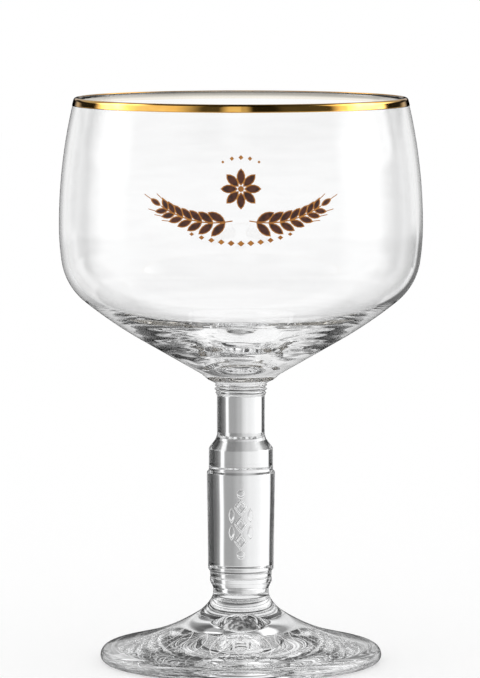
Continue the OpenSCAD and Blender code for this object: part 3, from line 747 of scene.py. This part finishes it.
def foot_top_glass(name):
    """Glass of the foot's upper side, with a painted highlight: white lines along the edges of the leaves and
    beads.
    """
    material, tree, shader = glass(name, STEM_TINT, STEM_SURFACE)
    xyz = node(tree, "ShaderNodeSeparateXYZ")
    tree.links.new(node(tree, "ShaderNodeTexCoord").outputs["Object"], xyz.inputs[0])
    x, y = xyz.outputs["X"], xyz.outputs["Y"]
    r = length_of(tree, x, y)
    a = maths(tree, "ARCTAN2", x, maths(tree, "MULTIPLY", y, -1.0))
    turn = 2*math.pi/LEAVES

    def along_and_across(angle, place):
        return (maths(tree, "SUBTRACT", maths(tree, "MULTIPLY", r, maths(tree, "COSINE", angle)), place),
                maths(tree, "MULTIPLY", r, maths(tree, "SINE", angle)))

    u, v = along_and_across(maths(tree, "WRAP", a, turn/2, -turn/2), LEAF_MIDDLE_R)
    v = maths(tree, "ADD", maths(tree, "ABSOLUTE", v), LEAF_R - LEAF_W/2)
    leaf = maths(tree, "ABSOLUTE", maths(tree, "SUBTRACT", LEAF_R, length_of(tree, u, v)))
    middle = maths(tree, "SUBTRACT", maths(tree, "WRAP", a, turn, 0.0), turn/2)
    u, v = along_and_across(middle, LEAF_BEAD_PLACE_R)
    bead = maths(tree, "ABSOLUTE", maths(tree, "SUBTRACT", length_of(tree, u, v), LEAF_BEAD_R))
    nearest = maths(tree, "MINIMUM", leaf, bead)
    paint_highlight(tree, shader, smooth(tree, nearest, *LEAF_HIGHLIGHT_LINE, 0.0, HIGHLIGHT_SHARE))
    return material


def relief_glass(name):
    """Glass of the stem, with a painted highlight: white along the edges of the relief."""
    material, tree, shader = glass(name, STEM_TINT, STEM_SURFACE)
    edge = node(tree, "ShaderNodeAttribute", attribute_name="relief_highlight").outputs["Fac"]
    paint_highlight(tree, shader, maths(tree, "MULTIPLY", edge, HIGHLIGHT_SHARE))
    return material


def dome_glass(name):
    """Glass of the dome under the foot, with painted shade: near-black streaks in its tint stand in for the dark
    that the dome shows.
    """
    material, tree, shader = glass(name, STEM_TINT, STEM_SURFACE)
    shade_streaks = smooth(tree, noise(tree, STREAK_SIZE, STREAK_STRETCH), *STREAK_RANGE)
    tree.links.new(mixed(tree, shade_streaks, STREAK_SHADE, STREAK_CLEAR), shader.inputs["Base Color"])
    return material


# Pieces
def finish_piece(piece, cad_node, material):
    piece.data.materials.append(material)
    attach(piece, "root")
    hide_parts(cad_node)


def paint(piece, material, chosen):
    """Gives that material to the faces for which chosen(face) is true."""
    piece.data.materials.append(material)
    index = len(piece.data.materials) - 1
    for face in piece.data.polygons:
        if chosen(face):
            face.material_index = index


def fuse(piece, height, radius):
    """Gives the flat face at that height, within that radius, the material of a fused seam."""
    def at_seam(face):
        corners = [piece.data.vertices[i].co for i in face.vertices]
        return all(math.hypot(co.x, co.y) < radius + TOUCH and abs(co.z - height) < TOUCH for co in corners)
    paint(piece, fused, at_seam)


def make_bowl():
    seat = [(SEAT[0]*i/(SEAT_ROWS + 1), BOWL_Z) for i in range(SEAT_ROWS + 1)]
    outline = seat + bowl_outside() + lip_turn(0) + bowl_inside()[-2::-1]
    bowl = turned("glass_bowl", outline, even_angles(BOWL_STEPS), bowl_shift)
    finish_piece(bowl, "bowl", clear_glass)
    fuse(bowl, BOWL_Z, SEAT_D/2)


def make_collar():
    low, high = COLLAR_LOW[2], COLLAR_HIGH[2]
    outline = ([(0.0, low), (NECK_D/4, low), (NECK_D/2, low)] + collar_outside()
               + [(SEAT_D/3, high), (SEAT_D/6, high), (0.0, high)])
    collar = turned("weld_collar_glass", outline, even_angles(COLLAR_STEPS), collar_shift)
    finish_piece(collar, "weld_collar", stem_glass)
    fuse(collar, low, NECK_D/2)
    fuse(collar, high, SEAT_D/2)


def make_stem():
    low, high = STEM_LOW[2], STEM_HIGH[2]
    front = [math.radians(-STEM_FRONT + 2*STEM_FRONT*i/STEM_FRONT_STEPS) for i in range(STEM_FRONT_STEPS)]
    back = [math.radians(STEM_FRONT + (360 - 2*STEM_FRONT)*i/STEM_BACK_STEPS) for i in range(STEM_BACK_STEPS)]
    side = densify(rounded(stem_outside(), EDGE_R, STEM_EDGE_STEP), STEM_STEP)
    outline = [(0.0, low), (SEAM_D/4, low)] + side + [(NECK_D/4, high), (0.0, high)]
    stem = turned("glass_stem", outline, front + back, stem_shift)
    finish_piece(stem, "stem", highlighted_stem_glass)
    # Each point's share of the painted white highlight, which lies along the edge of the relief
    points = np.empty(len(stem.data.vertices)*3)
    stem.data.vertices.foreach_get("co", points)
    x, y, z = points.reshape(-1, 3).T
    depth = relief_depth(np.hypot(x, y), np.arctan2(x, -y), z)
    edge = stem.data.attributes.new("relief_highlight", "FLOAT", "POINT")
    edge.data.foreach_set("value", np.exp(-((depth - HIGHLIGHT_LINE_PLACE)/HIGHLIGHT_LINE_W)**2).astype(np.float32))
    fuse(stem, low, SEAM_D/2)
    fuse(stem, high, NECK_D/2)


def make_foot():
    high = FOOT_HIGH[2]
    inwards = [(SEAM_D/3, high), (SEAM_D/6, high), (0.0, high)]
    outline = UNDER[::-1] + HEEL + foot_top()[1:] + inwards
    foot = turned("glass_foot", outline, even_angles(FOOT_STEPS), foot_shift)
    finish_piece(foot, "foot", stem_glass)
    first, last = (UNDER_ROWS - 1)*FOOT_STEPS, (len(outline) - len(inwards) - 2)*FOOT_STEPS
    paint(foot, foot_glass, lambda face: first <= face.index < last)
    paint(foot, dome, lambda face: (math.hypot(face.center.x, face.center.y) < DOME_D/2
                                    and HOLLOW_H < face.center.z < DOME_TOP + EDGE_R))
    fuse(foot, high, SEAM_D/2)


def make_gold_band():
    """A thin shell that follows the outside of the rim and goes over the lip."""
    outer, inner = [upper_wall(RIM_Z - BAND_H, off, BAND_ROWS) + lip_turn(off)[:LIP_ROWS_GILDED]
                    for off in (FILM_GAP + FILM_T, FILM_GAP)]
    band = ring("gold_band", outer + inner[::-1], BAND_STEPS)
    finish_piece(band, "rim_band", rim_gold)
    around = len(outer) + len(inner)
    paint(band, gold_back, lambda face: face.index % around >= len(outer))


def paint_print():
    """The solids of the print stay, with their own enamels."""
    for name, material in (("emblem_brown", brown), ("emblem_gold", gold_print)):
        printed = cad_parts[name]
        printed.data.materials.clear()
        printed.data.materials.append(material)


def make_floor():
    """A pale floor that keeps the shadow. Light that the glass passes on or reflects goes through it."""
    bpy.ops.mesh.primitive_circle_add(vertices=FLOOR_CORNERS, radius=FLOOR_RADIUS, fill_type="NGON",
                                      location=(0, 0, -FLOOR_DROP))
    floor = bpy.context.object
    floor.name = "floor"
    material, tree, shader = principled("floor")
    shader.inputs["Base Color"].default_value = (FLOOR_GREY, FLOOR_GREY, FLOOR_GREY, 1)
    shader.inputs["Roughness"].default_value = 1.0
    shader.inputs["Specular IOR Level"].default_value = 0.0
    path = node(tree, "ShaderNodeLightPath")
    shader.inputs["Emission Color"].default_value = (*CLEAR, 1)
    glow = maths(tree, "MULTIPLY", path.outputs["Is Camera Ray"], 1 - FLOOR_GREY)
    tree.links.new(glow, shader.inputs["Emission Strength"])
    clear = node(tree, "ShaderNodeBsdfTransparent")
    passing = maths(tree, "MAXIMUM", path.outputs["Is Transmission Ray"], path.outputs["Is Glossy Ray"])
    either(tree, passing, shader, clear)
    floor.data.materials.append(material)


# Studio
def seen_through_glass(tree, azimuth, elevation, path):
    """Light behind the glass, by the direction in which it is seen."""
    narrowing = smooth(tree, elevation, *BOWL_NARROWS, 1.0, BOWL_NARROWING)
    bowl = panels_over(tree, maths(tree, "MULTIPLY", azimuth, narrowing), 180, BEHIND_BOWL)
    bowl = mixed(tree, smooth(tree, elevation, *BOWL_TO_TOP), bowl, TOP_LEVEL)
    bowl = mixed(tree, smooth(tree, elevation, *BOWL_TO_GROUND), bowl, GROUND_LEVEL)
    stem = panels_over(tree, azimuth, 180, BEHIND_STEM)
    foot = panels_over(tree, azimuth, 180, BEHIND_FOOT)
    rest = mixed(tree, smooth(tree, elevation, *STEM_TO_FOOT), stem, foot)
    rest = mixed(tree, smooth(tree, elevation, *FOOT_TO_BELOW), rest, panels_over(tree, elevation, 90, BELOW))
    rest = maths(tree, "MULTIPLY", rest, panels_over(tree, elevation, 90, HEIGHT_FACTOR))
    over_rim = maths(tree, "MULTIPLY", smooth(tree, elevation, *OVER_RIM_RISE),
                     smooth(tree, elevation, *OVER_RIM_FALL))
    deep = maths(tree, "MULTIPLY", maths(tree, "GREATER_THAN", path.outputs["Transmission Depth"], BOTH_WALLS),
                 smooth(tree, elevation, *NOT_BELOW))
    return mixed(tree, maths(tree, "MAXIMUM", deep, over_rim), rest, bowl)


def reflected_light(tree, azimuth, elevation):
    light = panels_over(tree, azimuth, 180, REFLECTED_STEM)
    for start, stop, panels in REFLECTED_ABOVE:
        light = mixed(tree, smooth(tree, elevation, start, stop), light, panels_over(tree, azimuth, 180, panels))
    return maths(tree, "MULTIPLY", light, panels_over(tree, elevation, 90, REFLECTED_FACTOR))


def make_studio():
    """A light tent: even light on the floor, and panels in what glass and gold show."""
    world = bpy.data.worlds.new("studio")
    bpy.context.scene.world = world
    world.use_nodes = True
    world.cycles.sampling_method = "NONE"
    tree = world.node_tree
    parts = node(tree, "ShaderNodeSeparateXYZ")
    tree.links.new(node(tree, "ShaderNodeTexCoord").outputs["Generated"], parts.inputs[0])
    azimuth = maths(tree, "DEGREES", maths(tree, "ARCTAN2", parts.outputs["X"], parts.outputs["Y"]))
    elevation = maths(tree, "DEGREES", maths(tree, "ARCSINE", parts.outputs["Z"]))
    path = node(tree, "ShaderNodeLightPath")
    light = mixed(tree, path.outputs["Is Glossy Ray"], TENT_LEVEL, reflected_light(tree, azimuth, elevation))
    light = mixed(tree, path.outputs["Is Transmission Ray"], light,
                  seen_through_glass(tree, azimuth, elevation, path))
    past_diffuse = maths(tree, "GREATER_THAN", path.outputs["Diffuse Depth"], PAST_DIFFUSE)
    light = mixed(tree, past_diffuse, light, TENT_LEVEL)
    background = tree.nodes["Background"]
    tree.links.new(light, background.inputs["Color"])
    background.inputs["Strength"].default_value = 1.0


def set_bounces():
    cycles = bpy.context.scene.cycles
    cycles.max_bounces = BOUNCES
    cycles.transmission_bounces = BOUNCES
    cycles.glossy_bounces = BOUNCES
    cycles.transparent_max_bounces = BOUNCES


def make_camera():
    camera_data = bpy.data.cameras.new("camera")
    camera_data.sensor_width = SENSOR
    camera_data.lens = CAMERA_FOCAL_PIXELS*SENSOR/IMAGE_H
    camera_data.clip_end = CAMERA_REACH
    camera = bpy.data.objects.new("camera", camera_data)
    bpy.context.scene.collection.objects.link(camera)
    aside = (IMAGE_W/2 - AXIS_PIXEL_X)*CAMERA_DISTANCE/CAMERA_FOCAL_PIXELS
    camera.location = (aside, -CAMERA_DISTANCE, CAMERA_HEIGHT)
    camera.rotation_euler = (math.radians(90 - CAMERA_PITCH), 0, 0)
    bpy.context.scene.camera = camera


clear_glass = glass("bowl_glass", BOWL_TINT, BOWL_SURFACE)[0]
stem_glass = glass("stem_glass", STEM_TINT, STEM_SURFACE)[0]
fused = see_through("fused_face", CLEAR)
rim_gold = gilding("rim_gold")
dome = dome_glass("dome_glass")
foot_glass = foot_top_glass("foot_glass")
highlighted_stem_glass = relief_glass("relief_glass")
gold_back = see_through("back_of_gilding", GOLD_BACK)
brown = enamel("print_brown", BROWN_THIN, BROWN_THICK)
gold_print = enamel("print_gold", GOLD_PRINT_THIN, GOLD_PRINT_THICK)

make_bowl()
make_collar()
make_stem()
make_foot()
make_gold_band()
paint_print()
make_floor()
make_studio()
set_bounces()
make_camera()
bpy.context.scene.view_settings.view_transform = "Standard"
